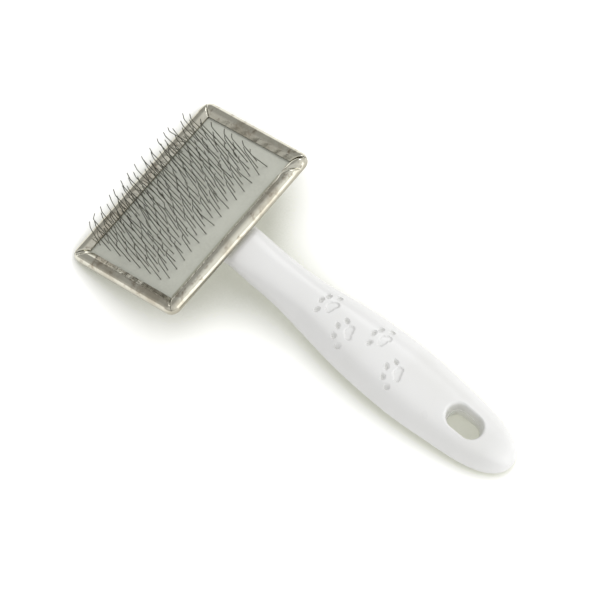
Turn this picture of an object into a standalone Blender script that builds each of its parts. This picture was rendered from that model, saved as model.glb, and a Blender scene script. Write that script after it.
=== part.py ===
"""Slicker brush lying on its back: a folded sheet-metal pan of kinked wire pins, riveted to a moulded handle.

Metres, +Z up. The brush rests on the floor with its pins up, on the far edge of the pan and the end of
the handle. Pieces are built in the pan's own frame (x toward the handle, y along the pan, z out of the
pins' side, zero at the middle of the pan's back), and one empty carries them all to their resting place.
"""

import math

import bmesh
import bpy
from mathutils import Matrix, Vector

CLEAR = 0.0003  # air between two pieces that touch

# The pan: one blank of tinned sheet, its four sides turned up and folded in over the pad.
PAN_LENGTH = 0.0883
PAN_WIDTH = 0.0611
PAN_DEPTH = 0.0061
PAN_CORNER = 0.0065
SHEET = 0.0006
BASE_BEND = 0.0028
RIM_BEND = 0.0028
LIP_WIDTH = 0.0062
LIP_FALL = 34.0
MITRE_OUTER = 0.0006
MITRE_INNER = 0.0012
MITRE_INSET = 0.0020

# The pad, from the pins' side down: rubber facing, woven cloth, felt cushion.
FACING = 0.0010
CLOTH = 0.0004
CROWN = 0.0026

# The pins: round wire with a knee, set in staggered rows.
WIRE = 0.00044
PIN_PITCH = 0.00478
ROW_PITCH = 0.00304
MARGIN_HANDLE_SIDE = 0.0077
MARGIN_FAR_SIDE = 0.0014
MARGIN_RIGHT = 0.0055
MARGIN_LEFT = 0.0047
KNEE_HEIGHT = 0.0077
TIP_HEIGHT = 0.0137
LEAN_BELOW = 20.0
LEAN_ABOVE = 16.0
PIN_ROOT = 0.0008

# The handle: a tongue under the pan, a neck, a grip and a slot to hang it by.
SEAT_ANGLE = 30.3
HANDLE_REACH = 0.1409
TONGUE_LENGTH = 0.0430
TONGUE_WIDTH = 0.0260
TONGUE_THICK = 0.0050
NECK_ROOT_WIDTH = 0.0190
NECK_WIDTH = 0.0193
NECK_AT = 0.0245
SWELL_WIDTH = 0.0287
SWELL_AT = 0.0600
GRIP_WIDTH = 0.0311
GRIP_AT = 0.0865
HEEL_WIDTH = 0.0290
HEEL_AT = 0.1100
END_WIDTH = 0.0313
ROUNDED_FROM = 0.0961
NECK_ROOT_LEVELS = (-0.0032, -0.0138)
NECK_LEVELS = (-0.0026, -0.0182)
NECK_DEEP_AT = 0.0130
GRIP_LEVELS = (-0.0004, -0.0182)
GRIP_HIGH_AT = 0.0620
HEEL_LEVELS = (-0.0024, -0.0172)
END_LEVELS = (-0.0042, -0.0166)
TIP_ROUND = 0.0110
ROUND_LEAD = 0.0040
SHOULDERS_FULL_AT = 0.0350
OUTLINE_POWER = 2.2
SECTION_POWER = 2.9
SHOULDER_LEAN = 0.43
SHOULDER_BLEND = 9.0
SLOT_AT = 0.1155
SLOT_LENGTH = 0.0168
SLOT_WIDTH = 0.0106
SLOT_CHAMFER = 0.0012
SLOT_DRAFT = 0.0009

# The two rivets, measured from the pan's edge on the handle side.
RIVETS_AT = (0.0215, 0.0345)
RIVET_SHANK = 0.0040
RIVET_HEAD = 0.0080
RIVET_HEAD_THICK = 0.0010
WASHER_OUTER = 0.0092
WASHER_THICK = 0.0008
CLINCH = 0.0064
CLINCH_THICK = 0.0009

EDGE = PAN_WIDTH / 2
FALL = math.radians(LIP_FALL)
LIP_END = (
    PAN_DEPTH
    - RIM_BEND * (1 - math.cos(FALL))
    - (LIP_WIDTH - RIM_BEND * (1 + math.sin(FALL))) * math.tan(FALL)
)
FACE_TOP = LIP_END - SHEET / math.cos(FALL) - CLEAR
CLOTH_TOP = FACE_TOP - FACING - CLEAR
CUSHION_TOP = CLOTH_TOP - CLOTH - CLEAR
TONGUE_BACK = -CLEAR - TONGUE_THICK
POCKET_DEPTH = WASHER_THICK + CLINCH_THICK + 3 * CLEAR
RESTING = "resting_pose"


def clear_scene():
    for obj in list(bpy.data.objects):
        bpy.data.objects.remove(obj, do_unlink=True)


def finish(name, colour, roughness, metallic=0.0):
    made = bpy.data.materials.new(name)
    made.use_nodes = True
    shader = made.node_tree.nodes["Principled BSDF"]
    shader.inputs["Base Color"].default_value = (*colour, 1.0)
    shader.inputs["Roughness"].default_value = roughness
    shader.inputs["Metallic"].default_value = metallic
    return made


def place(name, bm, material, smooth=30.0):
    """Turns a bmesh into an object of its own, carried by the resting pose."""
    bmesh.ops.remove_doubles(bm, verts=bm.verts, dist=1e-7)
    bmesh.ops.recalc_face_normals(bm, faces=bm.faces)
    mesh = bpy.data.meshes.new(name)
    bm.to_mesh(mesh)
    bm.free()
    obj = bpy.data.objects.new(name, mesh)
    bpy.context.scene.collection.objects.link(obj)
    obj.parent = bpy.data.objects[RESTING]
    if material:
        mesh.materials.append(material)
        mesh.shade_smooth()
        mesh.set_sharp_from_angle(angle=math.radians(smooth))
    return obj


def place_cutter(name, bm):
    obj = place(name, bm, None)
    obj.hide_render = True
    obj.display_type = "WIRE"
    return obj


def combine(obj, other, operation):
    step = obj.modifiers.new(f"{operation.lower()}_{other.name}", "BOOLEAN")
    step.operation = operation
    step.solver = "EXACT"
    step.object = other


def skin(bm, loops):
    """Joins loops of equally many points with quads, and caps both ends."""
    rings = [[bm.verts.new(point) for point in loop] for loop in loops]
    for low, high in zip(rings, rings[1:]):
        for k in range(len(low)):
            nxt = (k + 1) % len(low)
            bm.faces.new((low[k], low[nxt], high[nxt], high[k]))
    bm.faces.new(rings[0][::-1])
    bm.faces.new(rings[-1])


def circle(radius, count=20):
    return [
        (radius * math.cos(2 * math.pi * k / count), radius * math.sin(2 * math.pi * k / count))
        for k in range(count)
    ]


def rounded_rectangle(half_x, half_y, radius, steps=5):
    points = []
    for corner, (sx, sy) in enumerate(((1, 1), (-1, 1), (-1, -1), (1, -1))):
        for k in range(steps + 1):
            turn = math.radians(90 * corner + 90 * k / steps)
            points.append(
                (
                    sx * (half_x - radius) + radius * math.cos(turn),
                    sy * (half_y - radius) + radius * math.sin(turn),
                )
            )
    return points


def stadium(length, width, steps=7):
    """A slot's outline, long along x."""
    points = []
    for side in (1, -1):
        for k in range(steps + 1):
            turn = math.radians(-90 + 180 * k / steps + (0 if side > 0 else 180))
            points.append(
                (
                    side * (length - width) / 2 + width / 2 * math.cos(turn),
                    width / 2 * math.sin(turn),
                )
            )
    return points


def arc(centre, radius, start, end, steps):
    """Points of a bend in the pan's wall section, as (inset, height)."""
    made = []
    for k in range(steps + 1):
        turn = math.radians(start + (end - start) * k / steps)
        made.append((centre[0] + radius * math.cos(turn), centre[1] + radius * math.sin(turn)))
    return made


def wall_section(bend_base, bend_rim, lift):
    """One skin of the pan from its floor round to the lip's edge; lift is how far it lies inside the outer skin."""
    points = arc((BASE_BEND, BASE_BEND), bend_base, 270, 180, 4)
    points += arc((RIM_BEND, PAN_DEPTH - RIM_BEND), bend_rim, 180, 90 - LIP_FALL, 6)
    points.append((LIP_WIDTH, LIP_END - lift / math.cos(FALL)))
    return points


def pan_loops():
    outer = wall_section(BASE_BEND, RIM_BEND, 0.0)
    inner = wall_section(BASE_BEND - SHEET, RIM_BEND - SHEET, SHEET)
    loops = []
    for inset, height in outer + inner[::-1]:
        outline = rounded_rectangle(
            PAN_WIDTH / 2 - inset, PAN_LENGTH / 2 - inset, max(PAN_CORNER - inset, 0.0008)
        )
        loops.append([(x, y, height) for x, y in outline])
    return loops


def mitre_cutter():
    """Four wedges that part the folded lips at the corners."""
    bm = bmesh.new()
    low = LIP_END - 3 * SHEET
    high = PAN_DEPTH + SHEET
    reach = LIP_WIDTH + MITRE_INNER
    for sx in (1, -1):
        for sy in (1, -1):
            corner = Vector((sx * (PAN_WIDTH / 2 - MITRE_INSET), sy * (PAN_LENGTH / 2 - MITRE_INSET)))
            inward = Vector((-sx, -sy)).normalized()
            across = Vector((-inward.y, inward.x))
            inner = corner + inward * reach * math.sqrt(2)
            outline = [
                corner + across * MITRE_OUTER / 2,
                inner + across * MITRE_INNER,
                inner - across * MITRE_INNER,
                corner - across * MITRE_OUTER / 2,
            ]
            skin(bm, [[(p.x, p.y, z) for p in outline] for z in (low, high)])
    return place_cutter("mitre_cutter", bm)


def drill(name, radius, low, high, count=16):
    """Upright cutters on both rivet axes."""
    bm = bmesh.new()
    for distance in RIVETS_AT:
        outline = circle(radius, count)
        skin(bm, [[(EDGE - distance + x, y, z) for x, y in outline] for z in (low, high)])
    return place_cutter(name, bm)


def head_pan(material):
    bm = bmesh.new()
    skin(bm, pan_loops())
    pan = place("head_pan", bm, material)
    combine(pan, mitre_cutter(), "DIFFERENCE")
    combine(pan, drill("pan_rivet_holes", RIVET_SHANK / 2 + CLEAR, -SHEET, 3 * SHEET), "DIFFERENCE")
    return pan


def pad_room():
    """Half sizes of the pan's flat floor, where the pad lies, and of the mouth between the lips."""
    room = (PAN_WIDTH / 2 - BASE_BEND, PAN_LENGTH / 2 - BASE_BEND)
    mouth = (PAN_WIDTH / 2 - LIP_WIDTH, PAN_LENGTH / 2 - LIP_WIDTH)
    return room, mouth


def crown(x, y):
    """How far the cushion lifts the pad above its clamped edge."""
    mouth = pad_room()[1]
    across = max(0.0, 1 - (x / mouth[0]) ** 2)
    along = max(0.0, 1 - (y / mouth[1]) ** 2)
    return CROWN * across * along


def crown_normal(x, y):
    step = 0.0005
    slope_x = (crown(x + step, y) - crown(x - step, y)) / (2 * step)
    slope_y = (crown(x, y + step) - crown(x, y - step)) / (2 * step)
    return Vector((-slope_x, -slope_y, 1)).normalized()


def stations(mouth, room, cells):
    inner = [mouth * (2 * k / cells - 1) for k in range(cells + 1)]
    return [-room] + inner + [room]


def crowned_plate(name, material, bottom, top, flat_bottom=False):
    """A layer of the pad: flat under the lips, crowned between them."""
    room, mouth = pad_room()
    bm = bmesh.new()

    def sheet(height, crowned):
        xs = stations(mouth[0], room[0], 6)
        ys = stations(mouth[1], room[1], 8)
        return [
            [bm.verts.new((x, y, height + (crown(x, y) if crowned else 0.0))) for y in ys] for x in xs
        ]

    upper, lower = sheet(top, True), sheet(bottom, not flat_bottom)
    last_x, last_y = len(upper) - 1, len(upper[0]) - 1
    for i in range(last_x):
        for j in range(last_y):
            bm.faces.new((upper[i][j], upper[i + 1][j], upper[i + 1][j + 1], upper[i][j + 1]))
            bm.faces.new((lower[i][j], lower[i][j + 1], lower[i + 1][j + 1], lower[i + 1][j]))
    rim = [(i, 0) for i in range(last_x)] + [(last_x, j) for j in range(last_y)]
    rim += [(i, last_y) for i in range(last_x, 0, -1)] + [(0, j) for j in range(last_y, 0, -1)]
    for (i, j), (p, q) in zip(rim, rim[1:] + rim[:1]):
        bm.faces.new((lower[i][j], lower[p][q], upper[p][q], upper[i][j]))
    corners = [bm.edges.get((upper[i][j], lower[i][j])) for i in (0, last_x) for j in (0, last_y)]
    bmesh.ops.bevel(bm, geom=corners, offset=PAN_CORNER - BASE_BEND, segments=3, affect="EDGES", profile=0.5)
    return place(name, bm, material)


def felt_cushion(material):
    cushion = crowned_plate("felt_cushion", material, SHEET + CLEAR, CUSHION_TOP, flat_bottom=True)
    head_room = SHEET + 2 * CLEAR + RIVET_HEAD_THICK + CLEAR
    cutter = drill("cushion_pockets", RIVET_HEAD / 2 + 2 * CLEAR, 0.0, head_room, 20)
    combine(cushion, cutter, "DIFFERENCE")
    return cushion


def pin_roots():
    """Where the wires leave the facing: rows across the pan, every second one shifted half a pitch."""
    mouth = pad_room()[1]
    near, far = mouth[0] - MARGIN_HANDLE_SIDE, -mouth[0] + MARGIN_FAR_SIDE
    right, left = mouth[1] - MARGIN_RIGHT, -mouth[1] + MARGIN_LEFT
    rows = int((near - far) / ROW_PITCH + 1e-6) + 1
    for row in range(rows):
        shift = 0.0 if row % 2 else PIN_PITCH / 2
        y = left + shift
        while y < right + 1e-6:
            yield near - row * ROW_PITCH, y
            y += PIN_PITCH


def pin_path(x, y):
    """Root, surface, knee and tip of one wire: it leans away from the handle, then back toward it."""
    up = crown_normal(x, y)
    away = up.cross(Vector((0, 1, 0))).normalized()
    foot = Vector((x, y, FACE_TOP + crown(x, y)))
    below = up + away * math.tan(math.radians(LEAN_BELOW))
    above = up - away * math.tan(math.radians(LEAN_ABOVE))
    knee = foot + below * KNEE_HEIGHT
    tip = knee + above * (TIP_HEIGHT - KNEE_HEIGHT)
    return [foot - below * PIN_ROOT, knee, tip]


def wires():
    """All the wires as square prisms whose corners lie on the round wire."""
    bm = bmesh.new()
    for x, y in pin_roots():
        path = pin_path(x, y)
        side = Vector((0, 1, 0))
        loops = []
        for k, point in enumerate(path):
            ahead = path[min(k + 1, len(path) - 1)] - path[max(k - 1, 0)]
            other = ahead.cross(side).normalized()
            loops.append([point + (side * a + other * b) * WIRE / 2 for a, b in circle(1.0, 4)])
        skin(bm, loops)
    return place_cutter("wires", bm)


def pin_pad(material):
    """The rubber facing with its wires, which are part of this body."""
    facing = crowned_plate("pin_pad", material, FACE_TOP - FACING, FACE_TOP)
    combine(facing, wires(), "UNION")
    return facing


def through_curve(points, at):
    """A smooth value through (place, value) pairs, level at both ends."""
    if at <= points[0][0]:
        return points[0][1]
    for k in range(len(points) - 1):
        (a, low), (b, high) = points[k], points[k + 1]
        if at > b:
            continue
        slopes = []
        for m in (k, k + 1):
            if 0 < m < len(points) - 1:
                run = points[m + 1][0] - points[m - 1][0]
                slopes.append((points[m + 1][1] - points[m - 1][1]) / run * (b - a))
            else:
                slopes.append(0.0)
        t = (at - a) / (b - a)
        ease = t * t * (3 - 2 * t)
        lead, trail = t * (1 - t) ** 2, t * t * (t - 1)
        return low + (high - low) * ease + slopes[0] * lead + slopes[1] * trail
    return points[-1][1]


def from_handle(x, z):
    """From the handle's own line (x along it, from the pan's lower edge) to the pan's frame."""
    turn = math.radians(SEAT_ANGLE)
    return (
        EDGE + x * math.cos(turn) + z * math.sin(turn),
        -x * math.sin(turn) + z * math.cos(turn),
    )


def handle_section(x):
    """Half width, top and bottom of the handle at a distance along it."""
    widths = [
        (0.0, NECK_ROOT_WIDTH),
        (NECK_AT, NECK_WIDTH),
        (SWELL_AT, SWELL_WIDTH),
        (GRIP_AT, GRIP_WIDTH),
        (HEEL_AT, HEEL_WIDTH),
        (HANDLE_REACH, END_WIDTH),
    ]
    places = (0.0, NECK_DEEP_AT, GRIP_HIGH_AT, HEEL_AT, HANDLE_REACH)
    levels = (NECK_ROOT_LEVELS, NECK_LEVELS, GRIP_LEVELS, HEEL_LEVELS, END_LEVELS)
    top = through_curve([(at, pair[0]) for at, pair in zip(places, levels)], x)
    bottom = through_curve([(at, pair[1]) for at, pair in zip(places, levels)], x)
    end = max(0.0, (x - ROUNDED_FROM) / (HANDLE_REACH - ROUNDED_FROM))
    half = through_curve(widths, x) / 2 * max(0.0, 1 - end**OUTLINE_POWER) ** (1 / OUTLINE_POWER)
    tip = max(0.0, (x - HANDLE_REACH + TIP_ROUND) / TIP_ROUND)
    middle, reach = (top + bottom) / 2, (top - bottom) / 2 * math.sqrt(max(0.0, 1 - tip**2))
    return half, middle + reach, middle - reach


def unit_section(shoulder, count=36):
    """A squarish oval with its upper shoulders planed off by this much, from -1 to 1 both ways."""
    points = []
    for k in range(count):
        turn = 2 * math.pi * k / count
        y, z = math.cos(turn), math.sin(turn)
        oval = (abs(y) ** SECTION_POWER + abs(z) ** SECTION_POWER) ** (1 / SECTION_POWER)
        plane = max(0.0, shoulder * (abs(y) + SHOULDER_LEAN * z))
        size = (oval**SHOULDER_BLEND + plane**SHOULDER_BLEND) ** (1 / SHOULDER_BLEND)
        points.append((y / size, z / size))
    wide, high = max(y for y, z in points), max(z for y, z in points)
    return [(y / wide, z / high if z > 0 else z) for y, z in points]


def section_between(top, bottom, half, shoulder):
    """The section as points, from its lowest and highest place in the handle's side plane."""
    points = []
    for y, z in unit_section(shoulder):
        rise = (z + 1) / 2
        points.append(
            (bottom[0] + (top[0] - bottom[0]) * rise, y * half, bottom[1] + (top[1] - bottom[1]) * rise)
        )
    return points


def handle_loops():
    """Sections from inside the tongue, through the neck and grip, to the tip."""
    loops = []
    root_half, root_top, root_bottom = handle_section(0.0)
    inside = EDGE - TONGUE_LENGTH * 0.42
    top_at, bottom_at = from_handle(0.0, root_top), from_handle(0.0, root_bottom)
    steps = 5
    for k in range(steps):
        t = k / steps
        ease = t * t * (2 - t)
        top = (inside + (top_at[0] - inside) * t, -2 * CLEAR + (top_at[1] + 2 * CLEAR) * t)
        low = TONGUE_BACK + 2 * CLEAR
        bottom = (inside + (bottom_at[0] - inside) * t, low + (bottom_at[1] - low) * ease)
        half = TONGUE_WIDTH / 2 - CLEAR + (root_half - TONGUE_WIDTH / 2 + CLEAR) * t * t * (3 - 2 * t)
        loops.append(section_between(top, bottom, half, t / 2))
    body = [k / 17 * (HANDLE_REACH - TIP_ROUND - ROUND_LEAD) for k in range(18)]
    turns = [math.radians(angle) for angle in (16, 32, 46, 58, 68, 77, 85)]
    cap = [HANDLE_REACH - (TIP_ROUND + ROUND_LEAD) * (1 - math.sin(turn)) for turn in turns]
    for x in body + cap:
        half, top, bottom = handle_section(x)
        shoulder = min(1.0, (1 + x / SHOULDERS_FULL_AT) / 2)
        loops.append(section_between(from_handle(x, top), from_handle(x, bottom), half, shoulder))
    return loops


def tongue():
    """The flat tongue that lies under the pan, round at its far end."""
    bm = bmesh.new()
    length = TONGUE_LENGTH - CLEAR
    outline = [
        (EDGE - length + x, y)
        for x, y in ((p[0] + TONGUE_WIDTH / 2, p[1]) for p in circle(TONGUE_WIDTH / 2, 28))
        if x <= TONGUE_WIDTH / 2 + 1e-6
    ]
    outline.sort(key=lambda p: math.atan2(p[1], -(p[0] - EDGE + length - TONGUE_WIDTH / 2)))
    reach = EDGE - TONGUE_LENGTH * 0.36
    outline = [(reach, outline[0][1])] + outline + [(reach, outline[-1][1])]
    skin(bm, [[(x, y, z) for x, y in outline] for z in (TONGUE_BACK, -CLEAR)])
    return place_cutter("tongue", bm)


def slot_cutter():
    """The hanging slot, drawn in toward the underside, with eased rims that follow the handle's surfaces."""
    past = 2 * SLOT_CHAMFER
    levels = [
        (1, past, SLOT_CHAMFER + past),
        (1, -SLOT_CHAMFER, 0.0),
        (0, SLOT_CHAMFER, -SLOT_DRAFT),
        (0, -past, SLOT_CHAMFER + past - SLOT_DRAFT),
    ]
    bm = bmesh.new()
    loops = []
    for top_side, sink, grow in levels[::-1]:
        loop = []
        for x, y in stadium(SLOT_LENGTH + 2 * grow, SLOT_WIDTH + 2 * grow):
            _, top, bottom = handle_section(SLOT_AT + x)
            u, n = from_handle(SLOT_AT + x, (top if top_side else bottom) + sink)
            loop.append((u, y, n))
        loops.append(loop)
    skin(bm, loops)
    return place_cutter("slot_cutter", bm)


def seat_cutter():
    """Trims the neck flush with the pan's back."""
    bm = bmesh.new()
    outline = [
        (sx * PAN_WIDTH / 2 + CLEAR * sx, sy * PAN_LENGTH / 2) for sx, sy in ((1, 1), (-1, 1), (-1, -1), (1, -1))
    ]
    skin(bm, [[(x, y, z) for x, y in outline] for z in (-CLEAR, PAN_DEPTH)])
    return place_cutter("seat_cutter", bm)


def handle(material):
    bm = bmesh.new()
    skin(bm, handle_loops())
    grip = place("handle", bm, material, 40.0)
    combine(grip, tongue(), "UNION")
    combine(grip, seat_cutter(), "DIFFERENCE")
    combine(grip, slot_cutter(), "DIFFERENCE")
    hole = RIVET_SHANK / 2 + CLEAR
    combine(grip, drill("tongue_rivet_holes", hole, TONGUE_BACK - CLEAR, CLEAR), "DIFFERENCE")
    pocket = drill(
        "tongue_pockets", WASHER_OUTER / 2 + CLEAR, TONGUE_BACK - CLEAR, TONGUE_BACK + POCKET_DEPTH, 20
    )
    combine(grip, pocket, "DIFFERENCE")
    return grip


def turned(name, material, x, profile, count=20):
    """A turned piece on an upright axis at x, from (radius, height) pairs."""
    bm = bmesh.new()
    skin(bm, [[(x + a, b, z) for a, b in circle(radius, count)] for radius, z in profile])
    return place(name, bm, material)


def washer_seat():
    return TONGUE_BACK + POCKET_DEPTH - CLEAR


def rivet(name, material, x):
    """Flat head on the pan's floor, shank through pan and tongue, end clinched over the washer."""
    floor = SHEET + CLEAR
    head = RIVET_HEAD / 2
    shank = RIVET_SHANK / 2
    over = washer_seat() - WASHER_THICK - CLEAR
    profile = [
        (CLINCH / 2 * 0.7, over - CLINCH_THICK),
        (CLINCH / 2, over - CLINCH_THICK * 0.5),
        (CLINCH / 2, over),
        (shank, over),
        (shank, floor),
        (head, floor),
        (head, floor + RIVET_HEAD_THICK * 0.5),
        (head * 0.8, floor + RIVET_HEAD_THICK),
    ]
    return turned(name, material, x, profile)


def washer(name, material, x):
    top = washer_seat()
    bm = bmesh.new()
    outer, inner = circle(WASHER_OUTER / 2), circle(RIVET_SHANK / 2 + CLEAR)
    rings = [(outer, top - WASHER_THICK), (outer, top), (inner, top), (inner, top - WASHER_THICK)]
    loops = [[bm.verts.new((x + a, b, z)) for a, b in ring] for ring, z in rings]
    for low, high in zip(loops, loops[1:] + loops[:1]):
        for k in range(len(low)):
            nxt = (k + 1) % len(low)
            bm.faces.new((low[k], low[nxt], high[nxt], high[k]))
    return place(name, bm, material)


def lowest(points, turn):
    return min(-p.x * math.sin(turn) + p.z * math.cos(turn) for p in points)


def settle(root, pieces):
    """Turns the brush until pan and handle both touch the floor, and centres it there."""
    pan = [Vector(v.co) for v in bpy.data.objects["head_pan"].data.vertices]
    grip = [Vector(v.co) for v in bpy.data.objects["handle"].data.vertices]
    low, high = math.radians(-60), math.radians(0)
    for _ in range(60):
        turn = (low + high) / 2
        if lowest(pan, turn) < lowest(grip, turn):
            low = turn
        else:
            high = turn
    lean = Matrix.Rotation(turn, 4, "Y")
    everything = [lean @ Vector(v.co) for piece in pieces for v in piece.data.vertices]
    lows = [min(p[axis] for p in everything) for axis in range(3)]
    highs = [max(p[axis] for p in everything) for axis in range(3)]
    middle = [(a + b) / 2 for a, b in zip(lows, highs)]
    root.rotation_euler = (0.0, turn, 0.0)
    root.location = (-middle[0], -middle[1], -lows[2])


def build():
    clear_scene()
    root = bpy.data.objects.new(RESTING, None)
    bpy.context.scene.collection.objects.link(root)
    plastic = finish("gloss_white_plastic", (0.83, 0.83, 0.81), 0.22)
    tin = finish("tinned_sheet", (0.62, 0.59, 0.54), 0.2, 1.0)
    steel = finish("rivet_steel", (0.55, 0.55, 0.56), 0.35, 1.0)
    rubber = finish("grey_rubber", (0.45, 0.46, 0.44), 0.6)
    weave = finish("cotton_cloth", (0.62, 0.56, 0.44), 0.9)
    felt = finish("wool_felt", (0.50, 0.49, 0.47), 0.95)
    pieces = [
        handle(plastic),
        head_pan(tin),
        felt_cushion(felt),
        crowned_plate("cloth_backing", weave, CLOTH_TOP - CLOTH, CLOTH_TOP),
        pin_pad(rubber),
        bpy.data.objects["wires"],
    ]
    for name, distance in zip(("handle_side", "far_side"), RIVETS_AT):
        pieces.append(rivet(f"rivet_{name}", steel, EDGE - distance))
        pieces.append(washer(f"washer_{name}", steel, EDGE - distance))
    settle(root, pieces)


build()
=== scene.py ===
import math
import random

import bmesh
import bpy
from mathutils import Matrix, Vector, noise


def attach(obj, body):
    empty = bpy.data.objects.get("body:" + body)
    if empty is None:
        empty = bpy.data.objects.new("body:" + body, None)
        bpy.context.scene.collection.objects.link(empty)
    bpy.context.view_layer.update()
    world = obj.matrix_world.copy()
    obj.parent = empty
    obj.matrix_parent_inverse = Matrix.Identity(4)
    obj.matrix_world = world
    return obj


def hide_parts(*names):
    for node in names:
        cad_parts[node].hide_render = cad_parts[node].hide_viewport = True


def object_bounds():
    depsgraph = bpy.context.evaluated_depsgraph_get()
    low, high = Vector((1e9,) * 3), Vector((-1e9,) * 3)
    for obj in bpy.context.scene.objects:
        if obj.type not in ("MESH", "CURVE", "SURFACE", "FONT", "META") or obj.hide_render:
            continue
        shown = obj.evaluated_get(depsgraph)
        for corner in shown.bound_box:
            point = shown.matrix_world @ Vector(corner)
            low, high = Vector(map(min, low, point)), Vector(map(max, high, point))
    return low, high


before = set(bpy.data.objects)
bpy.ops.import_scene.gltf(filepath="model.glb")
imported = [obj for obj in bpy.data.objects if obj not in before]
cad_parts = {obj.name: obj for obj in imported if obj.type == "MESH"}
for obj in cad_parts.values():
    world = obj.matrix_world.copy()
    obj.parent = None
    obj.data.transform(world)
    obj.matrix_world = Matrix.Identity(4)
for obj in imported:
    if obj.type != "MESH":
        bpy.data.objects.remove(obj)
cadBox = [list(corner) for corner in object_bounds()]
print("frame loaded, nodes:", ", ".join(sorted(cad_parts)))

rest = {  # how the brush lies: turned about Y from the pan's own frame, then set on the floor
    "turn": -26.185,
    "shift": (-0.0678224, 0.0, 0.0125268),
}
toRest = Matrix.Translation(rest["shift"]) @ Matrix.Rotation(math.radians(rest["turn"]), 4, "Y")
weld = 1e-7  # vertices nearer than this are one
black, white = (0.0, 0.0, 0.0, 1.0), (1.0, 1.0, 1.0, 1.0)


def smoothStep(low, high, value):
    t = min(1.0, max(0.0, (value - low) / (high - low)))
    return t * t * (3 - 2 * t)


def faceOutward(bm):
    bmesh.ops.recalc_face_normals(bm, faces=bm.faces)
    if bm.calc_volume(signed=True) < 0:
        bmesh.ops.reverse_faces(bm, faces=bm.faces)


def makePiece(name, bm, material, sharp=35.0):  # sharp is the angle where shading breaks
    bmesh.ops.remove_doubles(bm, verts=bm.verts, dist=weld)
    faceOutward(bm)
    bm.transform(toRest)
    for vert in bm.verts:  # rounding may not reach past the modelled box
        vert.co = [min(max(value, low), high) for value, low, high in zip(vert.co, *cadBox)]
    mesh = bpy.data.meshes.new(name)
    bm.to_mesh(mesh)
    bm.free()
    mesh.materials.append(material)
    mesh.shade_smooth()
    mesh.set_sharp_from_angle(angle=math.radians(sharp))
    piece = bpy.data.objects.new(name, mesh)
    bpy.context.scene.collection.objects.link(piece)
    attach(piece, "root")
    return piece


def makeSolid(name, bm):  # a plain object, for the booleans
    faceOutward(bm)
    mesh = bpy.data.meshes.new(name)
    bm.to_mesh(mesh)
    bm.free()
    solid = bpy.data.objects.new(name, mesh)
    bpy.context.scene.collection.objects.link(solid)
    return solid


def booleanMesh(bm, cutters):  # joins or cuts whole meshes, and hands back a new bmesh
    base = makeSolid("work", bm)
    for operation, cutter in cutters:
        step = base.modifiers.new(operation, "BOOLEAN")
        step.operation = operation
        step.solver = "EXACT"
        step.object = cutter
    bpy.context.view_layer.update()
    solved = base.evaluated_get(bpy.context.evaluated_depsgraph_get())
    made = bmesh.new()
    made.from_mesh(solved.to_mesh())
    solved.to_mesh_clear()
    bmesh.ops.remove_doubles(made, verts=made.verts, dist=weld)
    manySided = [face for face in made.faces if len(face.verts) > 4]
    bmesh.ops.triangulate(made, faces=manySided)
    for spent in [base] + [cutter for _, cutter in cutters]:
        bpy.data.objects.remove(spent, do_unlink=True)
    return made


def skin(bm, loops, closed=False):  # quads between loops of equally many points
    rings = [[bm.verts.new(point) for point in loop] for loop in loops]
    following = rings[1:] + rings[:1] if closed else rings[1:]
    for low, high in zip(rings, following):
        for k in range(len(low)):
            after = (k + 1) % len(low)
            bm.faces.new((low[k], low[after], high[after], high[k]))
    if not closed:
        bm.faces.new(rings[0][::-1])
        bm.faces.new(rings[-1])


def circle(radius, count):
    turns = [2 * math.pi * k / count for k in range(count)]
    return [(radius * math.cos(t), radius * math.sin(t)) for t in turns]


def throughCurve(points, at):  # a smooth value through (place, value) pairs
    if at <= points[0][0]:
        return points[0][1]
    for k in range(len(points) - 1):
        (a, low), (b, high) = points[k], points[k + 1]
        if at > b:
            continue
        slopes = []
        for m in (k, k + 1):
            if 0 < m < len(points) - 1:
                run = points[m + 1][0] - points[m - 1][0]
                slopes.append((points[m + 1][1] - points[m - 1][1]) / run * (b - a))
            else:
                slopes.append(0.0)
        t = (at - a) / (b - a)
        level = low + (high - low) * t * t * (3 - 2 * t)
        return level + slopes[0] * t * (1 - t) ** 2 + slopes[1] * t * t * (t - 1)
    return points[-1][1]


class Shade:  # one node output that can be used in sums
    def __init__(self, tree, socket):
        self.tree = tree
        self.socket = socket

    def math(self, operation, *others):
        values = dict(enumerate((self,) + others))
        return addNode(self.tree, "ShaderNodeMath", {"operation": operation}, values)

    def __add__(self, other):
        return self.math("ADD", other)

    def __sub__(self, other):
        return self.math("SUBTRACT", other)

    def __mul__(self, other):
        return self.math("MULTIPLY", other)

    def __rsub__(self, other):
        return addNode(self.tree, "ShaderNodeMath", {"operation": "SUBTRACT"}, {0: other, 1: self})

    __radd__ = __add__
    __rmul__ = __mul__

    def smooth(self, low, high):  # 0 below low, 1 above high
        settings = {"interpolation_type": "SMOOTHSTEP"}
        return addNode(self.tree, "ShaderNodeMapRange", settings, {0: self, 1: low, 2: high})

    def mix(self, low, high):  # two colours, by this factor
        settings = {"data_type": "RGBA"}
        values = {0: self, 6: low, 7: high}  # this node's colour sockets have no names of their own
        return addNode(self.tree, "ShaderNodeMix", settings, values, 2)


def addNode(tree, kind, settings, values, output=0):
    node = tree.nodes.new(kind)
    for name, value in settings.items():
        setattr(node, name, value)
    for name, value in values.items():
        feed(node, name, value)
    return Shade(tree, node.outputs[output])


def feed(node, name, value):
    if isinstance(value, Shade):
        value.tree.links.new(value.socket, node.inputs[name])
    else:
        node.inputs[name].default_value = value


def startMaterial(name):
    material = bpy.data.materials.new(name)
    material.use_nodes = True
    tree = material.node_tree
    place = addNode(tree, "ShaderNodeTexCoord", {}, {}, "Object")
    return material, tree, tree.nodes["Principled BSDF"], place


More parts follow.
